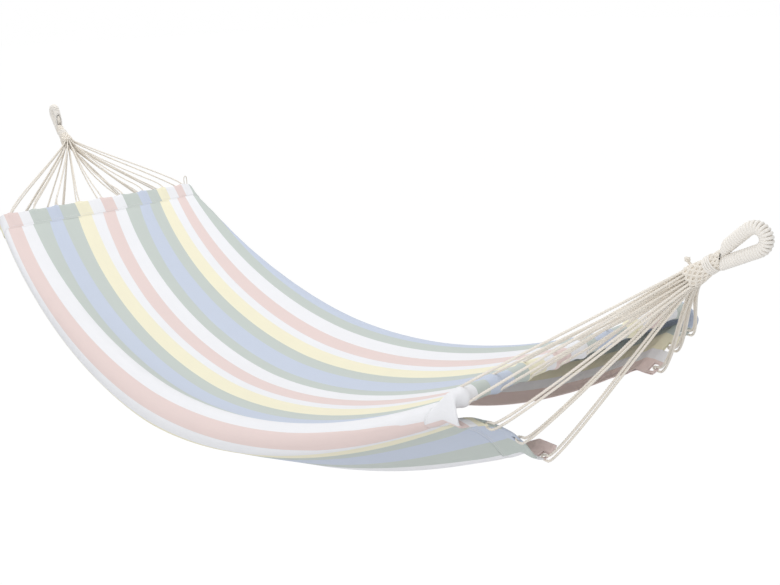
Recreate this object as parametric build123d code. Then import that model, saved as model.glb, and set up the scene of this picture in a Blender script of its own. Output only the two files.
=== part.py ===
from build123d import *
from math import acos, atan2, cos, degrees, hypot, pi, radians, sin, sqrt, tan
import os

os.makedirs("parts", exist_ok=True)

# Spreader bars: X runs from bar to bar, Y along each bar, Z up
BAR_LENGTH = 600.0
BAR_D = 20.0
BAR_CHAMFER = 1.5
BAR_SPAN = 1845.0

# Woven cloth: one sheet of stripes, wider than the bars, so a flap hangs at each side
STRIPE = 37.5
NEAR_STRIPES = 15
FAR_STRIPES = 14
CLOTH_T = 2.0
SAG = 299.0
LEFT_SAG_POWER = 1.87
RIGHT_SAG_POWER = 1.95
LEFT_FOLD_POWER = 3.1
RIGHT_FOLD_POWER = 1.3

# Hems: the cloth is doubled, and its end is a tunnel that the bar lies in
HEM_DEPTH = 34.0
HEM_T = 3.2
TUNNEL_WALL = 1.5
TUNNEL_PLAY = 0.5
TAIL_END = 7.0
FLAP_REACH = 28.0
SLOT_WIDTH = 13.0
SLOT_DEPTH = 11.0
FLAP_HOLE_D = 9.0
FLAP_HOLE_SETBACK = 10.0

# Suspension cords: loops from the neck round the bar, and through holes in the flaps
CORD_D = 4.5
CORD_PLAY = 0.6
BAR_LOOPS = 9
BAR_LOOP_INSET = 20.0
FLAP_LOOP_SHARES = (0.34, 0.62, 0.9)
FLAP_TURN_R = 5.0
FLAP_LEAD = 26.0
BAR_LEAD = 24.0
NECK_LEAD = 12.0
SOFT_GAP = 0.3

# Throat and neck: the cords are gathered into a neck, under the ring
THROAT_REACH = 250.0
THROAT_RISE = 206.0
NECK_LENGTH = 62.0
NECK_TOP_D = 24.0
NECK_BASE_W = 36.0
NECK_BASE_H = 34.0
NECK_BASE_CORNER = 12.0
NECK_BARREL = 30.0
NECK_COLUMN = 5.4
NECK_ROW = 5.2
SWIVEL_GAP = 0.3

# Rings: a loop of rope, whipped with cord all the way round
RING_LENGTH = 84.0
RING_BEND_R = 17.0
RING_CORE_D = 14.0
RING_LEG_OFFSET = 8.6
LEFT_RING_TILT = 62.0
RIGHT_RING_TILT = 36.0
WHIP_D = 2.5
WHIP_PLAY = 0.3
WHIP_TURNS = 24
WHIP_END = 14.0
BINDING_D = 3.0
BINDING_TURNS = 3
BINDING_PITCH = 3.9
BINDING_FROM_THROAT = 22.0
KNOT_D = 9.0
KNOT_RISE = 16.0
TIE_D = 3.0
TIE_WIDTH = 9.0
TIE_HEIGHT = 26.0
TIE_SETBACK = 8.0

HALF_SPAN = BAR_SPAN / 2
BAR_R = BAR_D / 2
CORD_R = CORD_D / 2
BAR_LOOP_PITCH = (BAR_LENGTH - 2 * BAR_LOOP_INSET) / (BAR_LOOPS - 1)
LOOP_R = BAR_R + CORD_PLAY + CORD_R
TUNNEL_R = BAR_R + TUNNEL_PLAY
TUNNEL_OUTER_R = TUNNEL_R + TUNNEL_WALL
NEAR_WIDTH = NEAR_STRIPES * STRIPE
FAR_WIDTH = FAR_STRIPES * STRIPE
SHORT_ARC = 1.0

# How the cloth bends across its width: each run of cloth has a length and the degrees it turns
# under, counted outwards from the seam line that hangs lowest, at each bar and in the middle.
LEFT_SEAM_Y = 0.0
MIDDLE_SEAM_Y = -66.0
RIGHT_SEAM_Y = -40.0
BAR_FOLD = 44.0
BAR_FOLD_TURN = 172.0


def bar_side(seam_to_end, width, curl, flap_turn, curl_turn):
    """Runs of one side at a bar: flat along the bar, folded under its end, then curled."""
    flap = width - seam_to_end - BAR_FOLD - curl
    return [
        (seam_to_end, 0.0),
        (BAR_FOLD, BAR_FOLD_TURN),
        (flap, flap_turn),
        (curl, curl_turn),
    ]


def middle_side(floor, floor_turn, fold, fold_turn, curl, flap_turn, curl_turn, width):
    """Runs of one side in the middle of the bed."""
    flap = width - floor - fold - curl
    return [(floor, floor_turn), (fold, fold_turn), (flap, flap_turn), (curl, curl_turn)]


LEFT_NEAR = bar_side(BAR_LENGTH / 2 + LEFT_SEAM_Y, NEAR_WIDTH, 88.0, -30.0, 100.0)
LEFT_FAR = bar_side(BAR_LENGTH / 2 - LEFT_SEAM_Y, FAR_WIDTH, 80.0, -30.0, 60.0)
MIDDLE_NEAR = middle_side(274.0, -7.0, 59.0, 155.0, 52.0, 16.0, 20.0, NEAR_WIDTH)
MIDDLE_FAR = middle_side(344.0, -16.0, 75.0, 135.0, 30.0, 10.0, 10.0, FAR_WIDTH)
RIGHT_NEAR = bar_side(BAR_LENGTH / 2 + RIGHT_SEAM_Y, NEAR_WIDTH, 68.0, -50.0, 110.0)
RIGHT_FAR = bar_side(BAR_LENGTH / 2 - RIGHT_SEAM_Y, FAR_WIDTH, 46.0, -30.0, 30.0)


def blend_runs(end, middle, weight):
    """Mix the runs of a bar with those of the middle of the bed."""
    return [
        (a * (1 - weight) + b * weight, p * (1 - weight) + q * weight)
        for (a, p), (b, q) in zip(end, middle)
    ]


def cloth_runs(x):
    """Seam place, seam height and the runs of both sides of the cloth at x."""
    u = x / HALF_SPAN
    near, far, seam_y = (LEFT_NEAR, LEFT_FAR, LEFT_SEAM_Y)
    sag_power, fold_power = LEFT_SAG_POWER, LEFT_FOLD_POWER
    if x > 0:
        near, far, seam_y = (RIGHT_NEAR, RIGHT_FAR, RIGHT_SEAM_Y)
        sag_power, fold_power = RIGHT_SAG_POWER, RIGHT_FOLD_POWER
    weight = 1 - min(abs(u), 1.0) ** fold_power
    seam = seam_y * (1 - weight) + MIDDLE_SEAM_Y * weight
    height = -SAG * (1 - abs(u) ** sag_power)
    return seam, height, blend_runs(near, MIDDLE_NEAR, weight), blend_runs(far, MIDDLE_FAR, weight)


def walk(y, z, side, runs, offset):
    """Arcs of one side of the cloth, as start, middle and end points, offset from its middle."""
    arcs = []
    angle = 0.0
    for length, turn in runs:
        turn = turn if abs(turn) > SHORT_ARC else SHORT_ARC
        bend = radians(turn)
        radius = length / bend
        places = []
        for share in (0.0, 0.5, 1.0):
            a = angle + bend * share
            py = y + side * radius * (sin(a) - sin(angle))
            pz = z - radius * (cos(angle) - cos(a))
            places.append((py + side * offset * sin(a), pz + offset * cos(a)))
        arcs.append(places)
        y += side * radius * (sin(angle + bend) - sin(angle))
        z -= radius * (cos(angle) - cos(angle + bend))
        angle += bend
    return arcs


def point_on_side(x, side, distance):
    """Point of the cloth at a distance from the seam along its width, and its tilt there."""
    seam, height, near, far = cloth_runs(x)
    runs = near if side < 0 else far
    y, z, angle = seam, height, 0.0
    for length, turn in runs:
        step = min(length, distance)
        bend = radians(turn if abs(turn) > SHORT_ARC else SHORT_ARC) * step / length
        radius = step / bend
        y += side * radius * (sin(angle + bend) - sin(angle))
        z -= radius * (cos(angle) - cos(angle + bend))
        angle += bend
        distance -= step
        if distance <= 0:
            break
    return y, z, angle


def arc_edges(x, arcs):
    """Edges at x through a list of start, middle and end points."""
    return [ThreePointArc(*[(x, y, z) for y, z in places]) for places in arcs]


def band_face(x, top, under):
    """Closed section at x between an upper and a lower row of arcs."""
    edges = arc_edges(x, top)
    edges.append(Line((x, *top[-1][2]), (x, *under[-1][2])))
    edges += arc_edges(x, [places[::-1] for places in under[::-1]])
    edges.append(Line((x, *under[0][0]), (x, *top[0][0])))
    return make_face(Wire(edges))


def cloth_section(x, thickness, flap=None):
    """Section of the whole width at x, or of the flap alone on one side."""
    seam, height, near, far = cloth_runs(x)
    half = thickness / 2
    if flap is None:
        rows = []
        for offset in (half, -half):
            near_arcs = walk(seam, height, -1, near, offset)
            far_arcs = walk(seam, height, 1, far, offset)
            rows.append([places[::-1] for places in near_arcs[::-1]] + far_arcs)
        return band_face(x, *rows)
    runs = near if flap < 0 else far
    rows = [walk(seam, height, flap, runs, offset)[2:] for offset in (half, -half)]
    return band_face(x, *rows)


def make_bed_cloth():
    """The bed between the two hems."""
    reach = HALF_SPAN - HEM_DEPTH
    stations = [share * reach for share in (-1, -0.84, -0.6, -0.3, 0, 0.3, 0.6, 0.84, 1)]
    return loft([cloth_section(x, CLOTH_T) for x in stations])


def bar_loop_places():
    """Y of each cord loop on a bar."""
    return [(i - (BAR_LOOPS - 1) / 2) * BAR_LOOP_PITCH for i in range(BAR_LOOPS)]


def flap_loop_places(end):
    """Place, tilt and side of each cord loop on the flaps of one end."""
    x = end * (HALF_SPAN - TAIL_END)
    seam, height, near, far = cloth_runs(x)
    places = []
    for side, runs in ((-1, near), (1, far)):
        width = sum(length for length, turn in runs[1:])
        for share in FLAP_LOOP_SHARES:
            places.append((*point_on_side(x, side, runs[0][0] + width * share), side))
    return places


def make_hem(end):
    """Doubled hem with the bar's tunnel, its slots, and the cord holes of the flaps."""
    start = end * (HALF_SPAN - HEM_DEPTH)
    stop = end * (HALF_SPAN - TAIL_END)
    hem = loft([cloth_section(start, HEM_T), cloth_section(stop, HEM_T)])
    reach = TAIL_END + FLAP_REACH
    for side in (-1, 1):
        hem += extrude(cloth_section(stop, HEM_T, flap=side), amount=reach, dir=(end, 0, 0))
    axis = Location((end * HALF_SPAN, 0, 0), (90, 0, 0))
    tunnel = Cylinder(TUNNEL_OUTER_R, BAR_LENGTH)
    hem += axis * tunnel
    hem -= axis * Cylinder(TUNNEL_R, BAR_LENGTH + 2 * TUNNEL_PLAY)
    for y in bar_loop_places():
        window = Pos(end * HALF_SPAN, y, 0) * Box(
            2 * (TUNNEL_OUTER_R + SLOT_DEPTH), SLOT_WIDTH, 4 * TUNNEL_OUTER_R
        )
        keep_flap = Pos(end * HALF_SPAN, y, -2 * TUNNEL_OUTER_R) * Box(
            4 * BAR_D, 2 * SLOT_WIDTH, 2 * TUNNEL_OUTER_R - 2 * TUNNEL_WALL
        )
        hem -= window - keep_flap
    for y, z, angle, side in flap_loop_places(end):
        lean = degrees(angle) * -side
        hole = Cylinder(FLAP_HOLE_D / 2, 4 * HEM_T)
        x = end * (HALF_SPAN + FLAP_REACH - FLAP_HOLE_SETBACK)
        hem -= Location((x, y, z), (lean, 0, 0)) * hole
    return hem


def make_bar(end):
    """Round wooden spreader bar with broken edges."""
    bar = Cylinder(BAR_R, BAR_LENGTH)
    bar = chamfer(bar.edges().filter_by(GeomType.CIRCLE), BAR_CHAMFER)
    return Location((end * HALF_SPAN, 0, 0), (90, 0, 0)) * bar


def throat(end):
    """Point where the neck meets the ring."""
    return Vector(end * (HALF_SPAN + THROAT_REACH), 0, THROAT_RISE)


def clew_axis(end):
    """Direction from the bar's middle up to the throat."""
    return Vector(end * THROAT_REACH, 0, THROAT_RISE).normalized()


def clew_up(end):
    """Direction square to the clew axis, upwards."""
    axis = clew_axis(end)
    return Vector(-axis.Z * end, 0, abs(axis.X))


def neck_base(end):
    """Middle of the neck's lower face."""
    return throat(end) - clew_axis(end) * NECK_LENGTH


def neck_plane(end, distance):
    """Plane square to the clew axis, at a distance below the throat."""
    origin = throat(end) - clew_axis(end) * distance
    return Plane(origin=origin, x_dir=(0, 1, 0), z_dir=clew_axis(end))


def make_neck(end):
    """Gathered cords: a rounded block that narrows to a barrel, cut flat at the throat."""
    base = neck_plane(end, NECK_LENGTH) * RectangleRounded(
        NECK_BASE_W, NECK_BASE_H, NECK_BASE_CORNER
    )
    top_face = neck_plane(end, NECK_BARREL) * RectangleRounded(
        NECK_TOP_D, NECK_TOP_D, NECK_TOP_D / 2 - SWIVEL_GAP / 2
    )
    body = loft([base, top_face])
    barrel = extrude(neck_plane(end, NECK_BARREL) * Circle(NECK_TOP_D / 2), 2 * NECK_BARREL)
    neck = body + barrel
    block = NECK_LENGTH * 4
    beyond = Pos(end * (abs(throat(end).X) - SWIVEL_GAP / 2 + block / 2), 0, THROAT_RISE)
    return neck - beyond * Box(block, block, block)


def neck_seats(end):
    """Where each loop's two strands enter the neck: offsets across and up, by loop order."""
    seats = []
    for i in range(BAR_LOOPS):
        level = 0 if i % 2 == 0 else 1
        across = (i - (BAR_LOOPS - 1) / 2) / 2 * NECK_COLUMN
        seats.append((across, (2.5 - 2 * level) * NECK_ROW, (1.5 - 2 * level) * NECK_ROW))
    count = 2 * len(FLAP_LOOP_SHARES)
    order = sorted(range(count), key=lambda i: flap_loop_places(end)[i][0])
    flap_seats = [None] * count
    for rank, i in enumerate(order):
        across = (rank - (count - 1) / 2) * NECK_COLUMN
        flap_seats[i] = (across, -1.5 * NECK_ROW, -2.5 * NECK_ROW)
    return seats + flap_seats


def seat_point(end, across, up):
    """Point on the neck's lower face."""
    clear = clew_axis(end) * SOFT_GAP
    return neck_base(end) - clear + Vector(0, across, 0) + clew_up(end) * up


def tangent_radius(before, corner, after):
    """Largest fair radius at a corner between two runs."""
    a = before - corner
    b = after - corner
    turn = radians(180 - a.get_angle(b))
    return 0.45 * min(a.length, b.length) / tan(turn / 2)


def route_radii(points, wraps, wrap_radius):
    """Radius at each corner of a route: fair ones, and the wrap's own at its two corners."""
    radii = []
    for a, b, c in zip(points, points[1:], points[2:]):
        wrapped = any((b - wrap).length < SOFT_GAP for wrap in wraps)
        radii.append(wrap_radius if wrapped else tangent_radius(a, b, c))
    return radii


def cord_tube(points, radii):
    """Round tube along straight runs joined by tangent arcs."""
    path = FilletPolyline(*points, radius=radii)
    start = Plane(origin=path @ 0, z_dir=path % 0)
    tube = sweep(start * Circle(CORD_R), path=path)
    volume = pi * CORD_R**2 * path.length
    print("cord", round(path.length, 1), "mm, radii", [round(r, 1) for r in radii],
          "volume ratio", round(tube.volume / volume, 4))
    return tube


# Slack of the loops along each bar, in millimetres below a straight line
LEFT_SLACK = (0.0, 5.0, 12.0, 16.0, 18.0, 24.0, 15.0, 6.0, 0.0)
RIGHT_SLACK = (0.0, 0.0, 4.0, 6.0, 5.0, 7.0, 4.0, 0.0, 0.0)
DIP_SHARES = (0.36, 0.7)
SECOND_DIP = 0.8
LOWER_STRAND_SLACK = 0.9


def slack_points(start, stop, slack):
    """Two points that let a strand sag between its ends."""
    if slack == 0:
        return []
    drop = Vector(0, 0, -slack)
    first, second = DIP_SHARES
    return [
        start + (stop - start) * first + drop,
        start + (stop - start) * second + drop * SECOND_DIP,
    ]


def bar_loop(end, i, seat):
    """One loop from the neck, round the bar and back."""
    across, up_a, up_b = seat
    top = seat_point(end, across, up_a)
    low = seat_point(end, across, up_b)
    middle = Vector(end * HALF_SPAN, bar_loop_places()[i], 0)
    rise = (top + low) / 2 - middle
    along = Vector(rise.X, 0, rise.Z).normalized()
    square = Vector(-along.Z * end, 0, abs(along.X))
    wraps = [middle - along * LOOP_R + square * LOOP_R * turn for turn in (1, -1)]
    leads = [middle + along * BAR_LEAD + square * LOOP_R * turn for turn in (1, -1)]
    starts = [point - clew_axis(end) * NECK_LEAD for point in (top, low)]
    slack = (LEFT_SLACK if end < 0 else RIGHT_SLACK)[i]
    points = [top, starts[0], *slack_points(starts[0], leads[0], slack), leads[0], *wraps]
    lower = slack_points(starts[1], leads[1], slack * LOWER_STRAND_SLACK)[::-1]
    points += [leads[1], *lower, starts[1], low]
    return cord_tube(points, route_radii(points, wraps, LOOP_R * 0.98))


def flap_loop(end, place, seat):
    """One loop from the neck, through a hole in the flap and back round its edge."""
    y, z, angle, side = place
    across, up_a, up_b = seat
    normal = Vector(0, side * sin(angle), cos(angle))
    hole = Vector(end * (HALF_SPAN + FLAP_REACH - FLAP_HOLE_SETBACK), y, z)
    lead = hole + Vector(end * FLAP_LEAD, 0, 0)
    flip = 1 if normal.Z >= 0 else -1
    first, second = (normal * FLAP_TURN_R * flip, normal * -FLAP_TURN_R * flip)
    top = seat_point(end, across, up_a)
    low = seat_point(end, across, up_b)
    wraps = [hole + first, hole + second]
    starts = [point - clew_axis(end) * NECK_LEAD for point in (top, low)]
    points = [top, starts[0], lead + first, *wraps, lead + second, starts[1], low]
    return cord_tube(points, route_radii(points, wraps, FLAP_TURN_R * 0.97))


def ring_frame(end):
    """Direction of the ring and the direction square to it, in the upright plane."""
    tilt = radians(LEFT_RING_TILT if end < 0 else RIGHT_RING_TILT)
    out = Vector(end * cos(tilt), 0, sin(tilt))
    return out, Vector(-end * sin(tilt), 0, cos(tilt))


def ring_path(end):
    """Middle line of the ring: a leg, a round bend and a leg, and the bend's middle."""
    out, square = ring_frame(end)
    crown = RING_LENGTH - RING_CORE_D / 2 - WHIP_D - WHIP_PLAY - RING_BEND_R
    middle = throat(end) + out * crown
    reach = hypot(crown, RING_LEG_OFFSET)
    lean = acos(RING_BEND_R / reach) + atan2(RING_LEG_OFFSET, crown)
    lean = pi - lean
    touch_up = middle + out * (RING_BEND_R * cos(lean)) + square * (RING_BEND_R * sin(lean))
    touch_low = middle + out * (RING_BEND_R * cos(lean)) - square * (RING_BEND_R * sin(lean))
    tip = middle + out * RING_BEND_R
    half = lean / 2
    mid_up = middle + out * (RING_BEND_R * cos(half)) + square * (RING_BEND_R * sin(half))
    mid_low = middle + out * (RING_BEND_R * cos(half)) - square * (RING_BEND_R * sin(half))
    start = throat(end) + square * RING_LEG_OFFSET
    stop = throat(end) - square * RING_LEG_OFFSET
    into = (touch_up - start).normalized() * RING_CORE_D
    out_of = (stop - touch_low).normalized() * RING_CORE_D
    path = Wire([
        Line(start - into, touch_up),
        ThreePointArc(touch_up, mid_up, tip),
        ThreePointArc(tip, mid_low, touch_low),
        Line(touch_low, stop + out_of),
    ])
    return path, middle


def swivel_cut(end):
    """Block on the neck's side of the throat, past the swivel gap."""
    block = RING_LENGTH * 4
    x = end * (abs(throat(end).X) + SWIVEL_GAP / 2 - block / 2)
    return Pos(x, 0, THROAT_RISE) * Box(block, block, block)


def make_ring_core(end):
    """Rope core of the ring, cut flat at the throat."""
    path, middle = ring_path(end)
    start = Plane(origin=path @ 0, z_dir=path % 0)
    core = sweep(start * Circle(RING_CORE_D / 2), path=path)
    return core - swivel_cut(end)


def arc_between(start, tangent, stop):
    """Arc that leaves start along a tangent and ends at stop."""
    chord = stop - start
    straight = chord.normalized()
    lean = tangent - straight * tangent.dot(straight)
    angle = radians(tangent.get_angle(chord))
    bulge = lean.normalized() * (chord.length / 2 * tan(angle / 2))
    return ThreePointArc(start, (start + stop) * 0.5 + bulge, stop)


def biarc(start, tangent, stop, end_tangent):
    """Two arcs that join two points with the given tangents."""
    gap = stop - start
    both = tangent + end_tangent
    a = 2 * (1 - tangent.dot(end_tangent))
    b = 2 * gap.dot(both)
    c = -gap.dot(gap)
    d = (-b + sqrt(b * b - 4 * a * c)) / (2 * a)
    joint = (start + tangent * d + stop - end_tangent * d) * 0.5
    first = arc_between(start, tangent, joint)
    second = arc_between(stop, end_tangent * -1, joint)
    return [first, ThreePointArc(joint, second @ 0.5, stop)]


def winding(place, turns, steps_per_turn, wire_d):
    """One unbroken tube through biarcs along a winding, with straight ends."""
    count = int(turns * steps_per_turn)
    tiny = 0.002
    knots = []
    for i in range(count + 1):
        t = i / steps_per_turn
        ahead = place(t + tiny)
        behind = place(t - tiny)
        knots.append((place(t), (ahead - behind).normalized()))
    first, last = knots[0], knots[-1]
    edges = [Line(first[0] - first[1] * wire_d, first[0])]
    for (p, s), (q, r) in zip(knots, knots[1:]):
        edges += biarc(p, s, q, r)
    edges.append(Line(last[0], last[0] + last[1] * wire_d))
    path = Wire(edges)
    tube = sweep(Plane(origin=path @ 0, z_dir=path % 0) * Circle(wire_d / 2), path=path)
    return tube, path


def least_gap(place, turns, wire_d, samples=40):
    """Least gap between turns of a winding, measured on points."""
    points = [place(i / samples) for i in range(int(turns * samples) + 1)]
    least = 1e9
    for i, p in enumerate(points):
        for q in points[i + samples // 2: i + 2 * samples]:
            least = min(least, (p - q).length)
    return least - wire_d


def make_whipping(end):
    """Cord wound round the ring from one leg to the other."""
    path, middle = ring_path(end)
    radius = RING_CORE_D / 2 + WHIP_PLAY + WHIP_D / 2
    total = path.length
    start = (RING_CORE_D + WHIP_END) / total
    span = 1 - 2 * start
    side = Vector(0, 1, 0)

    def place(t):
        share = start + span * t / WHIP_TURNS
        tangent = path % share
        square = tangent.cross(side)
        return path @ share + square * (radius * cos(2 * pi * t)) + side * (radius * sin(2 * pi * t))

    tube, line = winding(place, WHIP_TURNS, 4, WHIP_D)
    print("whipping", end, "least gap", round(least_gap(place, WHIP_TURNS, WHIP_D), 2),
          "volume ratio", round(tube.volume / (pi * WHIP_D**2 / 4 * line.length), 4))
    return tube


def make_binding(end):
    """Short winding round the neck, just under the throat."""
    radius = NECK_TOP_D / 2 + WHIP_PLAY + BINDING_D / 2
    axis = clew_axis(end)
    side = Vector(0, 1, 0)
    up = clew_up(end)
    foot = throat(end) - axis * BINDING_FROM_THROAT

    def place(t):
        spoke = side * cos(2 * pi * t) + up * sin(2 * pi * t)
        return foot + axis * (t - BINDING_TURNS / 2) * BINDING_PITCH + spoke * radius

    tube, line = winding(place, BINDING_TURNS, 4, BINDING_D)
    print("binding", end, "least gap", round(least_gap(place, BINDING_TURNS, BINDING_D), 2))
    return tube


def make_cord_end():
    """Knotted end of a cord that stands up from the right neck."""
    foot = neck_plane(1, NECK_LENGTH - KNOT_D).origin
    slope = (NECK_BASE_H - NECK_TOP_D) / 2 / (NECK_LENGTH - NECK_BARREL)
    surface = NECK_BASE_H / 2 - slope * (KNOT_D - CORD_R) + SOFT_GAP
    up = clew_up(1)
    low = foot + up * surface
    stub = extrude(Plane(origin=low, z_dir=up) * Circle(CORD_R), KNOT_RISE)
    knot = Pos(*(low + up * (KNOT_RISE + KNOT_D / 4))) * Sphere(KNOT_D / 2)
    return stub + knot


def make_tie_loop():
    """Small loop of cord that stands on the far end of the left hem."""
    y = BAR_LENGTH / 2 - TIE_SETBACK
    foot = TUNNEL_OUTER_R + SOFT_GAP
    x = -HALF_SPAN
    half = TIE_WIDTH / 2
    path = Wire([
        Line((x, y - half, foot), (x, y - half, foot + TIE_HEIGHT - half)),
        ThreePointArc(
            (x, y - half, foot + TIE_HEIGHT - half),
            (x, y, foot + TIE_HEIGHT),
            (x, y + half, foot + TIE_HEIGHT - half),
        ),
        Line((x, y + half, foot + TIE_HEIGHT - half), (x, y + half, foot)),
    ])
    return sweep(Plane(origin=path @ 0, z_dir=path % 0) * Circle(TIE_D / 2), path=path)


def ring_eye(end):
    """Point inside the ring's tip where a hook bears."""
    path, middle = ring_path(end)
    out, square = ring_frame(end)
    wall = RING_CORE_D / 2 + WHIP_PLAY + WHIP_D
    return middle + out * (RING_BEND_R - wall)


END_NAMES = {-1: "left", 1: "right"}
parts = {"bed_cloth": make_bed_cloth()}
for end, name in END_NAMES.items():
    parts[f"{name}_hem"] = make_hem(end)
    parts[f"{name}_bar"] = make_bar(end)
    parts[f"{name}_neck"] = make_neck(end)
    parts[f"{name}_ring_core"] = make_ring_core(end)
    parts[f"{name}_ring_whipping"] = make_whipping(end)
    parts[f"{name}_throat_binding"] = make_binding(end)
    seats = neck_seats(end)
    for i in range(BAR_LOOPS):
        parts[f"{name}_bar_cord_{i + 1}"] = bar_loop(end, i, seats[i])
    for i, place in enumerate(flap_loop_places(end)):
        where = "near" if place[3] < 0 else "far"
        number = i % len(FLAP_LOOP_SHARES) + 1
        parts[f"{name}_{where}_flap_cord_{number}"] = flap_loop(end, place, seats[BAR_LOOPS + i])

parts["right_cord_end"] = make_cord_end()
parts["left_tie_loop"] = make_tie_loop()

home = Pos(*(ring_eye(-1) * -1))
for name, solid in parts.items():
    export_step(home * solid, f"parts/{name}.step")
print("left eye", ring_eye(-1), "right eye", ring_eye(1))
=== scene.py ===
from math import acos, atan2, cos, exp, hypot, pi, radians, sin

import bmesh
import bpy
from bpy.props import FloatProperty, FloatVectorProperty, IntProperty, PointerProperty
from mathutils import Matrix, Vector, noise


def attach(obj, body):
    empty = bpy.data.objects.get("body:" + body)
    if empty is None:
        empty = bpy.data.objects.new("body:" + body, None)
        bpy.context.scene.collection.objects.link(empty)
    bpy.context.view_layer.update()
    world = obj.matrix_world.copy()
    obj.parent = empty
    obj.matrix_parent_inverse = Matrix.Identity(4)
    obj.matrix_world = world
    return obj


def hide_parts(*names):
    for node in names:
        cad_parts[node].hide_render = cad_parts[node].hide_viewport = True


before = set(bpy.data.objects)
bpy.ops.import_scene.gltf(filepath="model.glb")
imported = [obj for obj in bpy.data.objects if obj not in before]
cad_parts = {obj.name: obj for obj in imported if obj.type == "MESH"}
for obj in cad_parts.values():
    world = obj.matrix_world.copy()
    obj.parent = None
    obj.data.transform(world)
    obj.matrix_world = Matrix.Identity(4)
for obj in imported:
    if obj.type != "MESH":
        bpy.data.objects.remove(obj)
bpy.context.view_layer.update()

bl_info = {
    "name": "Striped Spreader Bar Hammock",
    "version": (1, 0, 0),
    "blender": (4, 5, 0),
    "location": "View3D > Sidebar > Hammock",
    "description": "Builds a striped hammock between two spreader bars",
    "category": "Object",
}

MM = 0.001
# Point midway between the bars, at their height, in the row frame
HOME = Vector((1.20273, 0.0, -0.262862))
BAR_LENGTH = 600.0 * MM
HALF_SPAN = 922.5 * MM
STRIPE = 37.5 * MM
# Stripes of one repeat, and those on each side of the middle line
REPEAT = 7
NEAR_STRIPES = 15
FAR_STRIPES = 14
NEAR_WIDTH = NEAR_STRIPES * STRIPE
FAR_WIDTH = FAR_STRIPES * STRIPE
# Number of the outermost near stripe, and stripes from the first pink one to the middle line
FIRST_STRIPE = -6
PINK_TO_MIDDLE = 8
BED_CLOTH = 1.6 * MM
HEM_CLOTH = 1.1 * MM
SAG = 299.0 * MM
SAG_POWER = {-1: 1.87, 1: 1.95}
FOLD_POWER = {-1: 3.1, 1: 1.3}
TAIL_END = 7.0 * MM
HEM_DEPTH = 34.0 * MM
FLAP_REACH = 28.0 * MM
FLAP_HOLE_SETBACK = 10.0 * MM
CORD_R = 2.25 * MM
LOOP_R = 12.85 * MM
BAR_LOOPS = 9
BAR_LOOP_PITCH = 70.0 * MM
FLAP_LOOP_SHARES = (0.34, 0.62, 0.9)
FLAP_TURN_R = 5.0 * MM
FLAP_LEAD = 26.0 * MM
BAR_LEAD = 24.0 * MM
NECK_LEAD = 12.0 * MM
SOFT_GAP = 0.3 * MM
THROAT_REACH = 250.0 * MM
THROAT_RISE = 206.0 * MM
NECK_LENGTH = 62.0 * MM
NECK_BARREL = 30.0 * MM
NECK_TOP_R = 12.0 * MM
NECK_BASE_W = 36.0 * MM
NECK_BASE_H = 34.0 * MM
NECK_COLUMN = 5.4 * MM
NECK_ROW = 5.2 * MM
RING_LENGTH = 84.0 * MM
RING_BEND_R = 17.0 * MM
RING_CORE_R = 7.0 * MM
RING_OUTER_R = 9.8 * MM
RING_LEG_OFFSET = 8.6 * MM
RING_TILT = {-1: radians(62.0), 1: radians(36.0)}
END_NAMES = {-1: "left", 1: "right"}
FLAP_NAMES = {-1: "near", 1: "far"}

# Slack of each bar loop, in millimetres below a straight line
SLACK = {
    -1: (0.0, 5.0, 12.0, 16.0, 18.0, 24.0, 15.0, 6.0, 0.0),
    1: (0.0, 0.0, 4.0, 6.0, 5.0, 7.0, 4.0, 0.0, 0.0),
}

# Where the cloth's middle line lies across the hammock, halfway along and at each bar
MIDDLE_SEAM = -66.0 * MM
SEAMS = {-1: 0.0, 1: -40.0 * MM}
# Runs of the cloth's width: length in millimetres and the degrees that it turns under
MIDDLE_NEAR = ((274.0, -7.0), (59.0, 155.0), (177.5, 16.0), (52.0, 20.0))
MIDDLE_FAR = ((344.0, -16.0), (75.0, 135.0), (76.0, 10.0), (30.0, 10.0))
BAR_NEAR = {
    -1: ((300.0, 0.0), (44.0, 172.0), (130.5, -30.0), (88.0, 100.0)),
    1: ((260.0, 0.0), (44.0, 172.0), (190.5, -50.0), (68.0, 110.0)),
}
BAR_FAR = {
    -1: ((300.0, 0.0), (44.0, 172.0), (101.0, -30.0), (80.0, 60.0)),
    1: ((340.0, 0.0), (44.0, 172.0), (95.0, -30.0), (46.0, 30.0)),
}

# Stripe widths, each as a share of an even stripe
# Across the bed, from one pink stripe to the next
BODY_STRIPES = (1.05, 1.15, 0.75, 1.4, 0.9, 1.15, 0.6)
# Along the left bar, from the first pink stripe
LEFT_BAR_STRIPES = (
    1.1, 0.8, 1.45, 0.95, 1.4, 1.1, 1.05, 1.05, 0.85, 1.4, 0.85, 0.95, 0.8, 0.85, 0.7, 0.7,
)
# On the near flap, from its outer white stripe to the first pink one
NEAR_FLAP_STRIPES = (1.1, 0.75, 1.4, 0.7, 1.6, 0.55, 0.95)
# The same stripes where the right bar gathers them
RIGHT_FLAP_STRIPES = (0.5, 1.2, 1.9, 0.9, 0.6, 0.5, 0.6)
# Number of the stripe that both flap lists start with
FLAP_FIRST_STRIPE = -5

# Distance over which the ripples and the near ridge fade out before a hem
HEM_FADE = 30.0 * MM
# Soft ridge on the near side: its place across the cloth, width and height
RIM_PLACE = -236.0 * MM
RIM_WIDTH = 42.0 * MM
RIM_RISE = 30.0 * MM

# Distance from the bar to the hem's seam, and the radius of the cloth round the bar
SEAM_DEPTH = 42.0 * MM
SLEEVE_R = 12.4 * MM
# Points along each straight side of the tunnel, and round the bar
RUN_COUNT = 8
ARC_COUNT = 24
# Half widths of a bar cord's slot and of a flap cord's slit
SLOT_HALF = 6.5 * MM
SLIT_HALF = 11.0 * MM

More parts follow.
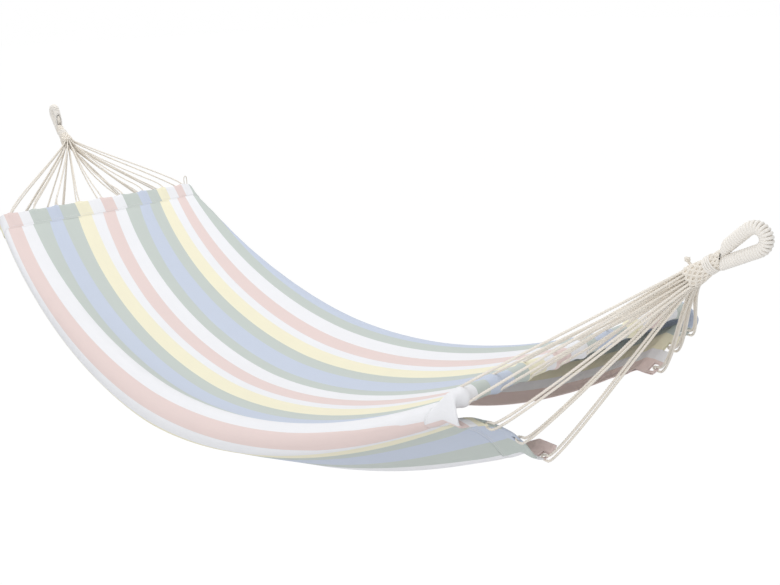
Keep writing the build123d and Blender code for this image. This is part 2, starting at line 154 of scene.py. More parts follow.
# Corners of a cord's section, and the distance between its sections
CORD_SIDES = 12
CORD_STEP = 0.0022
PLAIT_STRANDS = 10
PLAIT_R = 2.3 * MM

# Points of the tie loop, across and above the hem, in millimetres
TIE_ARCH = ((-4.5, 0.0), (-5.0, 13.0), (-4.0, 25.0), (4.0, 28.0), (6.0, 14.0), (4.5, 0.0))

FLOOR_Z = -1.9
FLOOR_SIZE = 60.0
# The photo's camera, from the point between the bars
CAMERA_PLACE = Vector((1.8675, -1.2135, 0.57825))
CAMERA_AZIMUTH = radians(49.731)
CAMERA_ELEVATION = radians(17.213)
CAMERA_ROLL = radians(-2.09)
PHOTO_WIDTH = 780
FOCAL_LENGTH_PIXELS = 957.823
SENSOR_WIDTH = 36


class HammockSizes(bpy.types.PropertyGroup):
    """Sizes that a user may change"""

    cord_lobe: FloatProperty(
        name="Cord lobe", description="How deep the twist of the cords is cut", default=0.16,
        min=0.0, max=0.4,
    )
    cord_lay: FloatProperty(
        name="Cord lay", description="Length of one full twist of a cord", default=0.013,
        unit="LENGTH",
    )
    whipping_ribs: IntProperty(
        name="Whipping turns", description="Turns of cord wound round each ring", default=46,
        min=8,
    )
    stitch_pitch: FloatProperty(
        name="Stitch pitch", description="Distance between hem stitches", default=0.0045,
        unit="LENGTH",
    )
    wrinkle: FloatProperty(
        name="Wrinkle depth", description="Depth of the gathers beside the hems", default=0.008,
        unit="LENGTH",
    )
    seed: IntProperty(name="Seed", description="Seed of the uneven folds", default=7)


def colour_property(name, description, default):
    """Colour property with a plain description."""
    return FloatVectorProperty(
        name=name, description=description, subtype="COLOR", size=3, min=0.0, max=1.0,
        default=default,
    )


class HammockColours(bpy.types.PropertyGroup):
    """Colours that a user may change, in linear light"""

    pink: colour_property("Pink", "Pink stripes", (0.80, 0.645, 0.61))
    white: colour_property("White", "White stripes", (0.87, 0.87, 0.89))
    sage: colour_property("Sage", "Green stripes", (0.54, 0.59, 0.55))
    blue: colour_property("Blue", "Blue stripes", (0.55, 0.61, 0.73))
    yellow: colour_property("Yellow", "Yellow stripes", (0.89, 0.84, 0.62))
    cord: colour_property("Cord", "Suspension cords", (0.92, 0.86, 0.77))
    whipping: colour_property("Whipping", "Cord wound round the rings", (0.93, 0.89, 0.83))
    wood: colour_property("Wood", "Spreader bars", (0.60, 0.40, 0.20))
    thread: colour_property("Thread", "Hem stitches", (0.80, 0.80, 0.80))


def sizes():
    """The sizes that the sidebar shows."""
    return bpy.context.scene.hammock_sizes


def colours():
    """The colours that the sidebar shows."""
    return bpy.context.scene.hammock_colours


# Materials


class Value:
    """A shader socket whose operators add Math nodes."""

    def __init__(self, tree, socket):
        self.tree = tree
        self.socket = socket

    def maths(self, operation, *values):
        node = self.tree.nodes.new("ShaderNodeMath")
        node.operation = operation
        for slot, value in zip(node.inputs, values):
            feed(self.tree, slot, value)
        return Value(self.tree, node.outputs[0])

    def __add__(self, other):
        return self.maths("ADD", self, other)

    def __sub__(self, other):
        return self.maths("SUBTRACT", self, other)

    def __rsub__(self, other):
        return self.maths("SUBTRACT", other, self)

    def __mul__(self, other):
        return self.maths("MULTIPLY", self, other)

    def __truediv__(self, other):
        return self.maths("DIVIDE", self, other)

    __radd__ = __add__

    def fraction(self):
        return self.maths("FRACT", self)

    def sine(self):
        return self.maths("SINE", self)


def feed(tree, slot, value):
    """Link a value to a socket, or set the socket's own number or colour."""
    if isinstance(value, Value):
        tree.links.new(value.socket, slot)
    elif slot.type == "RGBA" and len(value) == 3:
        slot.default_value = (*value, 1.0)
    else:
        slot.default_value = value


class Finish:
    """A material and the one way to add nodes to it."""

    def __init__(self, name):
        self.material = bpy.data.materials.new(name)
        self.material.use_nodes = True
        self.tree = self.material.node_tree
        self.shader = self.tree.nodes["Principled BSDF"]

    def node(self, kind, settings=None, inputs=None, output=0):
        node = self.tree.nodes.new(kind)
        for key, value in (settings or {}).items():
            setattr(node, key, value)
        for key, value in (inputs or {}).items():
            feed(self.tree, node.inputs[key], value)
        return Value(self.tree, node.outputs[output])

    def place(self):
        return self.node("ShaderNodeTexCoord", output="Object")

    def grain(self, where, scale, detail=4.0, roughness=0.6):
        return self.node(
            "ShaderNodeTexNoise", {"noise_dimensions": "3D"},
            {"Vector": where, "Scale": scale, "Detail": detail, "Roughness": roughness},
        )

    def mix(self, share, first, second):
        node = self.tree.nodes.new("ShaderNodeMix")
        node.data_type = "RGBA"
        feed(self.tree, node.inputs[0], share)
        feed(self.tree, node.inputs[6], first)
        feed(self.tree, node.inputs[7], second)
        return Value(self.tree, node.outputs[2])

    def bump(self, height, strength, distance):
        return self.node(
            "ShaderNodeBump", None,
            {"Height": height, "Strength": strength, "Distance": distance},
        )

    def finish(self, **inputs):
        for key, value in inputs.items():
            feed(self.tree, self.shader.inputs[key.replace("_", " ")], value)
        return self.material


def stripe_ramp(finish, place_in_period):
    """Seven stripes of one repeat, from the first pink one."""
    c = colours()
    ramp = finish.tree.nodes.new("ShaderNodeValToRGB")
    ramp.color_ramp.interpolation = "CONSTANT"
    stops = ramp.color_ramp.elements
    order = (c.pink, c.white, c.sage, c.blue, c.sage, c.yellow, c.white)
    while len(stops) < len(order):
        stops.new(0.5)
    for i, colour in enumerate(order):
        stops[i].position = i / len(order)
        stops[i].color = (*colour, 1.0)
    feed(finish.tree, ramp.inputs[0], place_in_period)
    return Value(finish.tree, ramp.outputs[0])


def cloth_finish(name, crease):
    """Striped canvas: flat weave, slightly uneven yarn, soft sheen."""
    f = Finish(name)
    uv = f.node("ShaderNodeUVMap", {"uv_map": "weave"})
    across = f.node("ShaderNodeSeparateXYZ", None, {"Vector": uv}, 0)
    along = f.node("ShaderNodeSeparateXYZ", None, {"Vector": uv}, 1)
    stripes = stripe_ramp(f, ((across - 1.0) / REPEAT).fraction())
    where = f.place()
    cloud = f.grain(where, 9.0, 3.0)
    streak = f.node("ShaderNodeMapping", None, {"Vector": uv, "Scale": (26.0, 0.9, 1.0)})
    yarn = f.grain(streak, 1.6, 3.0, 0.5)
    tone = f.mix(cloud * 0.10 + yarn * 0.16, stripes, (0.50, 0.50, 0.50))
    warp = (across * (2 * pi * 26.0)).sine()
    weft = (along * (2 * pi * 20.0)).sine()
    weave = warp * weft
    fuzz = f.grain(where, 900.0, 2.0)
    folds = f.grain(where, crease, 3.0, 0.55)
    height = f.bump(weave * 0.5 + fuzz, 0.35, 0.0004)
    soft = f.node(
        "ShaderNodeBump", None,
        {"Height": folds, "Strength": 0.25, "Distance": 0.006, "Normal": height},
    )
    return f.finish(
        Base_Color=tone, Roughness=0.86 - yarn * 0.08, Normal=soft, Sheen_Weight=0.12,
        Sheen_Roughness=0.5, Specular_IOR_Level=0.2,
    )


def cord_finish(name, colour, depth):
    """Matte cotton cord with uneven fibre."""
    f = Finish(name)
    where = f.place()
    fibre = f.grain(where, 420.0, 4.0)
    patch = f.grain(where, 38.0, 3.0)
    dark = tuple(channel * 0.80 for channel in colour)
    tone = f.mix(fibre * 0.45 + patch * 0.25, tuple(colour), dark)
    return f.finish(
        Base_Color=tone, Roughness=0.88 - fibre * 0.1, Normal=f.bump(fibre, 0.5, depth),
        Specular_IOR_Level=0.2, Sheen_Weight=0.1,
    )


def wood_finish():
    """Clear-finished pine with grain along the bar."""
    f = Finish("Pine")
    where = f.place()
    stretched = f.node("ShaderNodeMapping", None, {"Vector": where, "Scale": (60.0, 3.0, 60.0)})
    grain = f.grain(stretched, 2.2, 5.0, 0.55)
    pits = f.node("ShaderNodeMapping", None, {"Vector": where, "Scale": (420.0, 14.0, 420.0)})
    pores = f.grain(pits, 1.5)
    c = colours().wood
    dark = tuple(channel * 0.55 for channel in c)
    tone = f.mix(grain, tuple(min(1.0, channel * 1.25) for channel in c), dark)
    return f.finish(
        Base_Color=tone, Roughness=0.42 + pores * 0.2,
        Normal=f.bump(grain + pores * 0.4, 0.25, 0.0005), Coat_Weight=0.15,
    )


# Cloth shape


def blend_runs(end, middle, weight):
    """Mix the runs of a bar with those of the middle of the bed."""
    return [
        ((a * (1 - weight) + b * weight) * MM, radians(p * (1 - weight) + q * weight))
        for (a, p), (b, q) in zip(end, middle)
    ]


def cloth_runs(x):
    """Seam place, seam height and the runs of both sides of the cloth at x."""
    end = -1 if x < 0 else 1
    u = min(abs(x), HALF_SPAN - TAIL_END) / HALF_SPAN
    weight = 1 - u ** FOLD_POWER[end]
    seam = SEAMS[end] * (1 - weight) + MIDDLE_SEAM * weight
    height = -SAG * (1 - u ** SAG_POWER[end])
    near = blend_runs(BAR_NEAR[end], MIDDLE_NEAR, weight)
    far = blend_runs(BAR_FAR[end], MIDDLE_FAR, weight)
    return seam, height, near, far


def cloth_point(x, t, offset=0.0):
    """Point of the cloth at x and a distance t across it, near side negative."""
    y, z, near, far = cloth_runs(x)
    side = -1 if t < 0 else 1
    left = abs(t)
    angle = 0.0
    for i, (length, bend) in enumerate(near if side < 0 else far):
        step = left if i == 3 else min(length, left)
        if abs(bend) < 1e-4:
            y += side * step * cos(angle)
            z -= step * sin(angle)
        else:
            radius = length / bend
            turned = angle + step / radius
            y += side * radius * (sin(turned) - sin(angle))
            z -= radius * (cos(angle) - cos(turned))
            angle = turned
        left -= step
        if left <= 0:
            break
    return Vector((x, y + side * offset * sin(angle), z + offset * cos(angle)))


def rim_lift(x, t):
    """Height of the soft ridge along the near side of the bed."""
    u = min(1.0, abs(x) / HALF_SPAN)
    return RIM_RISE * (1 - u**2) * exp(-(((t - RIM_PLACE) / RIM_WIDTH) ** 2))


def cloth_normal(x, t):
    """Upper side's normal."""
    step = 2 * MM
    along = cloth_point(x + step, t) - cloth_point(x - step, t)
    across = cloth_point(x, t + step) - cloth_point(x, t - step)
    return along.cross(across).normalized()


def period_edges(widths, first, count):
    """Stripe edges as distances across the cloth, for stripes first to first + count."""
    total = sum(widths)
    edges = []
    for i in range(first, first + count + 1):
        whole, part = divmod(i - 1, REPEAT)
        place = whole * REPEAT + sum(widths[:part]) * REPEAT / total
        edges.append((place - PINK_TO_MIDDLE) * STRIPE)
    return edges


STRIPE_EDGES = period_edges(BODY_STRIPES, FIRST_STRIPE, NEAR_STRIPES + FAR_STRIPES)


def stripe_edges(x):
    """Stripe edges at x, which move from those of the bed to those of the bar at its end."""
    edges = list(STRIPE_EDGES)
    place = (FLAP_FIRST_STRIPE - 1 - PINK_TO_MIDDLE) * STRIPE
    for i, width in enumerate(NEAR_FLAP_STRIPES, FLAP_FIRST_STRIPE - FIRST_STRIPE + 1):
        place += width * STRIPE
        edges[i] = place
    first, widths = 1, LEFT_BAR_STRIPES
    if x >= 0:
        first, widths = FLAP_FIRST_STRIPE, RIGHT_FLAP_STRIPES
    share = min(1.0, abs(x) / HALF_SPAN) ** 3
    place = (first - 1 - PINK_TO_MIDDLE) * STRIPE
    for i, width in enumerate((0, *widths), first - FIRST_STRIPE):
        place += width * STRIPE
        edges[i] = edges[i] * (1 - share) + place * share
    return edges


def stripe_place(edges, t):
    """Stripe count at a point of the cloth, where every stripe is one wide."""
    for i in range(len(edges) - 1):
        if t < edges[i + 1] or i == len(edges) - 2:
            return FIRST_STRIPE + i + (t - edges[i]) / (edges[i + 1] - edges[i])
    return FIRST_STRIPE


def ripple(x, t, seed):
    """Height of the gathers and soft folds of the bed."""
    near_hem = exp(-(HALF_SPAN - abs(x)) / 0.16)
    across = t / 0.045
    gather = noise.noise(Vector((across, x * 1.6, seed))) + 0.5 * noise.noise(
        Vector((across * 2.3, x * 5.0, seed + 4.0))
    )
    long_fold = noise.noise(Vector((t / 0.11, x * 0.9, seed + 9.0)))
    return gather * near_hem + 0.55 * long_fold * (1 - near_hem)


def smooth(mesh):
    """Shade every face of a mesh smooth."""
    mesh.polygons.foreach_set("use_smooth", [True] * len(mesh.polygons))
    return mesh


def add_object(name, data):
    """Object in the scene for a mesh, curve, lamp or camera."""
    item = bpy.data.objects.new(name, data)
    bpy.context.scene.collection.objects.link(item)
    return item


def join_meshes(name, meshes):
    """One mesh from several."""
    joined = bmesh.new()
    for mesh in meshes:
        joined.from_mesh(mesh)
    whole = bpy.data.meshes.new(name)
    joined.to_mesh(whole)
    joined.free()
    return smooth(whole)


def grid_mesh(name, rows, skip=None, uv=None):
    """Mesh of a grid of points, with UVs and faces left out where asked."""
    across = len(rows[0])
    verts = [point for row in rows for point in row]
    faces = []
    places = []
    for i in range(len(rows) - 1):
        for j in range(across - 1):
            if skip and skip(i, j):
                continue
            first = i * across + j
            faces.append((first, first + 1, first + across + 1, first + across))
            places.append(((i, j), (i, j + 1), (i + 1, j + 1), (i + 1, j)))
    mesh = bpy.data.meshes.new(name)
    mesh.from_pydata(verts, [], faces)
    if uv:
        layer = mesh.uv_layers.new(name="weave")
        for face, corners in zip(mesh.polygons, places):
            for loop, corner in zip(face.loop_indices, corners):
                layer.data[loop].uv = uv(*corner)
    smooth(mesh)
    mesh.validate()
    return mesh


def add_piece(name, mesh, material, body, nodes=(), thickness=0.0):
    """Object of a finished piece, on its body and in place of its CAD nodes."""
    mesh.materials.clear()
    mesh.materials.append(material)
    piece = add_object(name, mesh)
    if thickness:
        wall = piece.modifiers.new("Cloth thickness", "SOLIDIFY")
        wall.thickness = thickness
        wall.offset = 0.0
    if nodes:
        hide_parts(*nodes)
    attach(piece, body)
    return piece


def spread(start, stop, count):
    """Evenly spaced numbers, both ends included."""
    return [start + (stop - start) * i / (count - 1) for i in range(count)]


# Geometry Nodes


class Nodes:
    """A Geometry Nodes tree with named inputs."""

    def __init__(self, name):
        self.tree = bpy.data.node_groups.new(name, "GeometryNodeTree")
        face = self.tree.interface
        face.new_socket("Geometry", in_out="INPUT", socket_type="NodeSocketGeometry")
        face.new_socket("Geometry", in_out="OUTPUT", socket_type="NodeSocketGeometry")
        self.start = self.tree.nodes.new("NodeGroupInput")
        self.end = self.tree.nodes.new("NodeGroupOutput")

    def ask(self, name, kind, default=None):
        item = self.tree.interface.new_socket(name, in_out="INPUT", socket_type=kind)
        if default is not None:
            item.default_value = default
        return self.start.outputs[name]

    def node(self, kind, settings=None, inputs=None):
        node = self.tree.nodes.new(kind)
        for key, value in (settings or {}).items():
            setattr(node, key, value)
        for key, value in (inputs or {}).items():
            if isinstance(value, bpy.types.NodeSocket):
                self.tree.links.new(value, node.inputs[key])
            else:
                node.inputs[key].default_value = value
        return node

    def maths(self, operation, first, second=0.0):
        node = self.node("ShaderNodeMath", {"operation": operation}, {0: first, 1: second})
        return node.outputs[0]

    def circle(self, resolution, radius):
        return self.node(
            "GeometryNodeCurvePrimitiveCircle", {"mode": "RADIUS"},
            {"Resolution": resolution, "Radius": radius},
        )

    def along(self, kind, mode, **inputs):
        settings = {"Curve": self.start.outputs[0], **inputs}
        return self.node(kind, {"mode": mode}, settings)

    def close(self, geometry, material):
        real = self.node("GeometryNodeRealizeInstances", None, {"Geometry": geometry})
        painted = self.node(
            "GeometryNodeSetMaterial", None,
            {"Geometry": real.outputs[0], "Material": material},
        )
        self.tree.links.new(painted.outputs[0], self.end.inputs[0])
        return self.tree


def twisted_cord_nodes():
    """Sweep of a lobed section that turns along a curve."""
    n = Nodes("Twisted Cord")
    radius = n.ask("Radius", "NodeSocketFloat", CORD_R)
    lobe = n.ask("Lobe", "NodeSocketFloat", 0.16)
    lay = n.ask("Lay", "NodeSocketFloat", 0.013)
    step = n.ask("Step", "NodeSocketFloat", 0.0024)
    plies = n.ask("Plies", "NodeSocketFloat", 3.0)
    material = n.ask("Material", "NodeSocketMaterial")
    even = n.along("GeometryNodeResampleCurve", "LENGTH", Length=step)
    along = n.node("GeometryNodeSplineParameter").outputs["Length"]
    turn = n.maths("MULTIPLY", n.maths("DIVIDE", along, lay), 2 * pi)
    tilted = n.node("GeometryNodeSetCurveTilt", None, {"Curve": even.outputs[0], "Tilt": turn})
    ring = n.circle(CORD_SIDES, radius)
    index = n.node("GeometryNodeInputIndex").outputs[0]
    angle = n.maths("MULTIPLY", index, 2 * pi / CORD_SIDES)
    wave = n.maths("COSINE", n.maths("MULTIPLY", angle, plies))
    swell = n.maths("ADD", n.maths("MULTIPLY", wave, lobe), 1.0)
    place = n.node("GeometryNodeInputPosition").outputs[0]
    scaled = n.node("ShaderNodeVectorMath", {"operation": "SCALE"}, {0: place, "Scale": swell})
    lobed = n.node(
        "GeometryNodeSetPosition", None,
        {"Geometry": ring.outputs[0], "Position": scaled.outputs[0]},
    )
    body = n.node(
        "GeometryNodeCurveToMesh", None,
        {"Curve": tilted.outputs[0], "Profile Curve": lobed.outputs[0], "Fill Caps": True},
    )
    return n.close(body.outputs[0], material)


def ribs_nodes():
    """Closed turns of cord set square to a curve."""
    n = Nodes("Whipping Turns")
    count = n.ask("Turns", "NodeSocketInt", 35)
    radius = n.ask("Winding Radius", "NodeSocketFloat", 0.0075)
    wire = n.ask("Cord Radius", "NodeSocketFloat", 0.0023)
    uneven = n.ask("Uneven", "NodeSocketFloat", 0.03)
    seed = n.ask("Seed", "NodeSocketInt", 3)
    material = n.ask("Material", "NodeSocketMaterial")
    points = n.along("GeometryNodeCurveToPoints", "COUNT", Count=count)
    turn = n.circle(28, radius)
    section = n.circle(8, wire)
    rib = n.node(
        "GeometryNodeCurveToMesh", None,
        {"Curve": turn.outputs[0], "Profile Curve": section.outputs[0]},
    )
    low = n.maths("SUBTRACT", 1.0, uneven)
    high = n.maths("ADD", 1.0, uneven)
    size = n.node(
        "FunctionNodeRandomValue", {"data_type": "FLOAT"}, {2: low, 3: high, "Seed": seed}
    )
    placed = n.node(
        "GeometryNodeInstanceOnPoints", None,
        {
            "Points": points.outputs[0], "Instance": rib.outputs[0],
            "Rotation": points.outputs["Rotation"], "Scale": size.outputs[1],
        },
    )
    return n.close(placed.outputs[0], material)


def stitch_nodes():
    """Small stitches laid end to end along a curve."""
    n = Nodes("Hem Stitches")
    pitch = n.ask("Pitch", "NodeSocketFloat", 0.0045)
    material = n.ask("Material", "NodeSocketMaterial")
    points = n.along("GeometryNodeCurveToPoints", "LENGTH", Length=pitch)
    bead = n.node("GeometryNodeMeshUVSphere", None, {"Segments": 6, "Rings": 4, "Radius": 1.0})
    shape = n.node(
        "GeometryNodeTransform", None,
        {"Geometry": bead.outputs[0], "Scale": (0.00045, 0.00045, 0.0016)},
    )
    placed = n.node(
        "GeometryNodeInstanceOnPoints", None,
        {
            "Points": points.outputs[0], "Instance": shape.outputs[0],
            "Rotation": points.outputs["Rotation"],
        },
    )
    return n.close(placed.outputs[0], material)


TREES = {}


def tree_of(maker):
    """Node tree, built once."""
    if maker not in TREES:
        TREES[maker] = maker()
    return TREES[maker]


def built_mesh(curve):
    """Mesh of a curve object as its modifiers leave it."""
    bpy.context.view_layer.update()
    graph = bpy.context.evaluated_depsgraph_get()
    return bpy.data.meshes.new_from_object(curve.evaluated_get(graph), depsgraph=graph)


def baked(curve, maker, **inputs):
    """Mesh that a node tree makes from a curve object."""
    tree = tree_of(maker)
    modifier = curve.modifiers.new("Build", "NODES")
    modifier.node_group = tree
    for item in tree.interface.items_tree:
        key = item.name.lower().replace(" ", "_")
        if item.in_out == "INPUT" and key in inputs:
            modifier[item.identifier] = inputs[key]
    mesh = built_mesh(curve)
    curve.modifiers.remove(modifier)
    return smooth(mesh)


def route_curve(name, points, smooth=True, cyclic=False):
    """Curve object through a route: smooth spline on its control points, or straight runs."""
    data = bpy.data.curves.new(name, "CURVE")
    data.dimensions = "3D"
    data.resolution_u = 24
    spline = data.splines.new("NURBS" if smooth else "POLY")
    spline.points.add(len(points) - 1)
    for target, point in zip(spline.points, points):
        target.co = (*point, 1.0)
    if smooth:
        spline.order_u = 3
        spline.use_endpoint_u = True
    spline.use_cyclic_u = cyclic
    return add_object(name, data)


def line_of(curve):
    """Points of a curve object's own line."""
    mesh = built_mesh(curve)
    points = [v.co.copy() for v in mesh.vertices]
    bpy.data.meshes.remove(mesh)
    return points


def drop(curve):
    """Remove a curve object that was only a guide."""
    data = curve.data
    bpy.data.objects.remove(curve)
    bpy.data.curves.remove(data)


def twist_cord(guide, radius, lobe, lay, step, material):
    """Mesh of a three-ply cord along a guide curve, which is then removed."""
    mesh = baked(
        guide, twisted_cord_nodes, radius=radius, lobe=lobe, lay=lay, step=step, plies=3.0,
        material=material,
    )
    drop(guide)
    return mesh


# Cord routes


def throat(end):
    return Vector((end * (HALF_SPAN + THROAT_REACH), 0.0, THROAT_RISE))


def clew_axis(end):
    return Vector((end * THROAT_REACH, 0.0, THROAT_RISE)).normalized()


def clew_up(end):
    axis = clew_axis(end)
    return Vector((-axis.z * end, 0.0, abs(axis.x)))


def seat_point(end, across, up):
    """Point on the neck's lower face."""
    base = throat(end) - clew_axis(end) * (NECK_LENGTH + SOFT_GAP)
    return base + Vector((0.0, across, 0.0)) + clew_up(end) * up


def bar_loop_places():
    return [(i - (BAR_LOOPS - 1) / 2) * BAR_LOOP_PITCH for i in range(BAR_LOOPS)]


def flap_loop_places(end):
    """Distance across the cloth, side and point of each flap loop."""
    near, far = cloth_runs(end * HALF_SPAN)[2:]
    places = []
    for side, runs in ((-1, near), (1, far)):
        width = sum(length for length, bend in runs[1:])
        for share in FLAP_LOOP_SHARES:
            t = side * (runs[0][0] + width * share)
            places.append((t, side, cloth_point(end * HALF_SPAN, t)))
    return places


def neck_seats(end):
    """Where each loop's two strands enter the neck: offsets across and up."""
    seats = []
    for i in range(BAR_LOOPS):
        level = i % 2
        across = (i - (BAR_LOOPS - 1) / 2) / 2 * NECK_COLUMN
        seats.append((across, (2.5 - 2 * level) * NECK_ROW, (1.5 - 2 * level) * NECK_ROW))
    places = flap_loop_places(end)
    order = sorted(range(len(places)), key=lambda i: places[i][2].y)
    flaps = [None] * len(places)
    for rank, i in enumerate(order):
        flaps[i] = ((rank - (len(places) - 1) / 2) * NECK_COLUMN, -1.5 * NECK_ROW, -2.5 * NECK_ROW)
    return seats + flaps


def slack_points(start, stop, slack):
    """Two points that let a strand sag between its ends."""
    if slack == 0:
        return []
    fall = Vector((0.0, 0.0, -slack))
    return [start + (stop - start) * 0.36 + fall, start + (stop - start) * 0.7 + fall * 0.8]


def bar_loop_route(end, i, seat):
    """Neck, over the bar, round it and back."""
    across, up_a, up_b = seat
    top = seat_point(end, across, up_a)
    low = seat_point(end, across, up_b)
    middle = Vector((end * HALF_SPAN, bar_loop_places()[i], 0.0))
    rise = (top + low) / 2 - middle
    along = Vector((rise.x, 0.0, rise.z)).normalized()
    square = Vector((-along.z * end, 0.0, abs(along.x)))
    wraps = [middle - along * LOOP_R + square * LOOP_R * turn for turn in (1, -1)]
    leads = [middle + along * BAR_LEAD + square * LOOP_R * turn for turn in (1, -1)]
    starts = [point - clew_axis(end) * NECK_LEAD for point in (top, low)]
    slack = SLACK[end][i] * MM
    down = [top, starts[0], *slack_points(starts[0], leads[0], slack), leads[0]]
    back = [leads[1], *slack_points(starts[1], leads[1], slack * 0.9)[::-1], starts[1], low]
    return down + wraps + back


def flap_loop_route(end, place, seat):
    """Neck, through the flap's hole, round its edge and back."""
    t, side, point = place
    across, up_a, up_b = seat
    step = 1 * MM
    run = cloth_point(end * HALF_SPAN, t + step) - cloth_point(end * HALF_SPAN, t - step)
    normal = Vector((0.0, -run.z, run.y)).normalized()
    hole = Vector((end * (HALF_SPAN + FLAP_REACH - FLAP_HOLE_SETBACK), point.y, point.z))
    lead = hole + Vector((end * FLAP_LEAD, 0.0, 0.0))
    flip = 1 if normal.z >= 0 else -1
    first, second = (normal * FLAP_TURN_R * flip, normal * -FLAP_TURN_R * flip)
    top = seat_point(end, across, up_a)
    low = seat_point(end, across, up_b)
    starts = [point - clew_axis(end) * NECK_LEAD for point in (top, low)]
    return [
        top, starts[0], lead + first, hole + first, hole + second, lead + second, starts[1], low,
    ]


def make_cord(name, route, material):
    """One suspension cord, a twisted cord swept along its route."""
    curve = route_curve(name + "_route", [point + HOME for point in route])
    path = line_of(curve)
    s = sizes()
    mesh = twist_cord(curve, CORD_R * 0.95, s.cord_lobe, s.cord_lay, CORD_STEP, material)
    cord = add_piece("suspension_" + name, mesh, material, "bed", (name,))
    return cord


class HAMMOCK_OT_cords(bpy.types.Operator):
    """Make the suspension cords of both ends"""

    bl_idname = "hammock.cords"
    bl_label = "Suspension Cords"

    def execute(self, context):
        material = cord_finish("Suspension Cotton", colours().cord, 0.0003)
        for end, name in END_NAMES.items():
            seats = neck_seats(end)
            for i in range(BAR_LOOPS):
                make_cord(f"{name}_bar_cord_{i + 1}", bar_loop_route(end, i, seats[i]), material)
            for i, place in enumerate(flap_loop_places(end)):
                number = i % len(FLAP_LOOP_SHARES) + 1
                make_cord(
                    f"{name}_{FLAP_NAMES[place[1]]}_flap_cord_{number}",
                    flap_loop_route(end, place, seats[BAR_LOOPS + i]), material,
                )
        return {"FINISHED"}


class HAMMOCK_OT_bed(bpy.types.Operator):
    """Make the striped cloth between the hems"""

    bl_idname = "hammock.bed"
    bl_label = "Bed Cloth"

    def execute(self, context):
        s = sizes()
        reach = HALF_SPAN - HEM_DEPTH - 4 * MM
        xs = spread(-reach, reach, 197)
        ts = spread(-NEAR_WIDTH, FAR_WIDTH, 122)
        rows = []
        for x in xs:
            row = []
            for t in ts:
                free = min(1.0, (reach - abs(x)) / HEM_FADE)
                lift = ripple(x, t, s.seed) * s.wrinkle * free
                ridge = Vector((0.0, 0.0, rim_lift(x, t) * free))
                row.append(cloth_point(x, t) + cloth_normal(x, t) * lift + ridge + HOME)
            rows.append(row)
        edges = [stripe_edges(x) for x in xs]
        mesh = grid_mesh(
            "bed_cloth_sheet", rows,
            uv=lambda i, j: (stripe_place(edges[i], ts[j]), xs[i] / STRIPE),
        )
        material = cloth_finish("Striped Canvas", 7.0)
        bed = add_piece(
            "striped_bed", mesh, material, "bed", ("bed_cloth",), BED_CLOTH
        )
        return {"FINISHED"}


def tunnel_profile(end, radius):
    """Teardrop round the bar, as x towards the bar and z, from the seam and back to it."""
    slope = SAG * SAG_POWER[end] / HALF_SPAN
    seam = Vector((-SEAM_DEPTH, -SEAM_DEPTH * slope))
    distance = seam.length
    inward = atan2(seam.y, seam.x)
    spreadout = acos(radius / distance)
    first = inward - spreadout
    last = inward + spreadout - 2 * pi
    gap = Vector((seam.y, -seam.x)).normalized() * -1.2 * MM
    top_end = Vector((cos(first), sin(first))) * radius
    low_end = Vector((cos(last), sin(last))) * radius
    top = [(seam + gap).lerp(top_end, i / RUN_COUNT) for i in range(RUN_COUNT)]
    arc = [
        Vector((cos(a), sin(a))) * radius for a in spread(first, last, ARC_COUNT)
    ]
    low = [low_end.lerp(seam - gap, (i + 1) / RUN_COUNT) for i in range(RUN_COUNT)]
    angles = [None] * RUN_COUNT + spread(first, last, ARC_COUNT) + [None] * RUN_COUNT
    return top + arc + low, angles


def flap_profile():
    """Doubled flap, as x towards its edge and offset from its middle."""
    count = 2 * RUN_COUNT + ARC_COUNT
    half = count // 2
    top = [(x, 1.5 * MM) for x in spread(-SEAM_DEPTH, FLAP_REACH, half)]
    top[-1] = (FLAP_REACH, 0.6 * MM)
    return top + [(x, -offset) for x, offset in top[::-1]]


def hem_rows(end):
    """Distances across the cloth of the hem's rows, with a row at each slot's edges."""
    base = spread(-NEAR_WIDTH, FAR_WIDTH, 330)
    edges = []
    for y in bar_loop_places():
        edges += [y - SEAMS[end] - SLOT_HALF, y - SEAMS[end] + SLOT_HALF]
    for t, side, point in flap_loop_places(end):
        edges += [t - SLIT_HALF, t + SLIT_HALF]
    kept = [t for t in base if min(abs(t - edge) for edge in edges) > 1.2 * MM]
    return sorted(kept + edges)


def hem_point(end, t, v, profiles, flap, near_end, far_end, seed):
    """Point of a hem: tunnel along the bar, doubled flap past its ends."""
    y = t + SEAMS[end]
    bump = sum(exp(-(((y - place) / (9 * MM)) ** 2)) for place in bar_loop_places())
    level = min(len(profiles) - 1, int(bump * (len(profiles) - 1) + 0.5))
    past = max(-near_end - t, t - far_end, 0.0)
    share = max(0.0, 1 - past / (24 * MM))
    share = share * share * (3 - 2 * share)
    tail = HALF_SPAN - TAIL_END
    fx, offset = flap[v]
    x = HALF_SPAN + fx
    surface = cloth_point(end * min(x, tail), t, offset)
    surface.x = end * x
    if share > 0:
        px, pz = profiles[level][0][v]
        anchor = cloth_point(end * tail, t)
        level_z = cloth_point(end * tail, 0.0).z
        tunnel = Vector((end * (HALF_SPAN + px), anchor.y, pz + anchor.z - level_z))
        surface = surface.lerp(tunnel, share)
    loose = (1.0 * MM + 2.2 * MM * (1 - share)) * min(1.0, min(v, len(flap) - 1 - v) / 4)
    wobble = noise.noise(Vector((t / 0.021, v * 0.22, seed + end)))
    broad = noise.noise(Vector((t / 0.06, v * 0.05, seed - end)))
    outward = Vector((0.0, 0.0, 1.0 if v < len(flap) // 2 else -1.0))
    if share > 0.5:
        outward = Vector((end * px, 0.0, pz)).normalized()
    return surface + outward * wobble * loose * 0.6 + Vector((end * 0.6, 0.0, 0.4)) * broad * loose


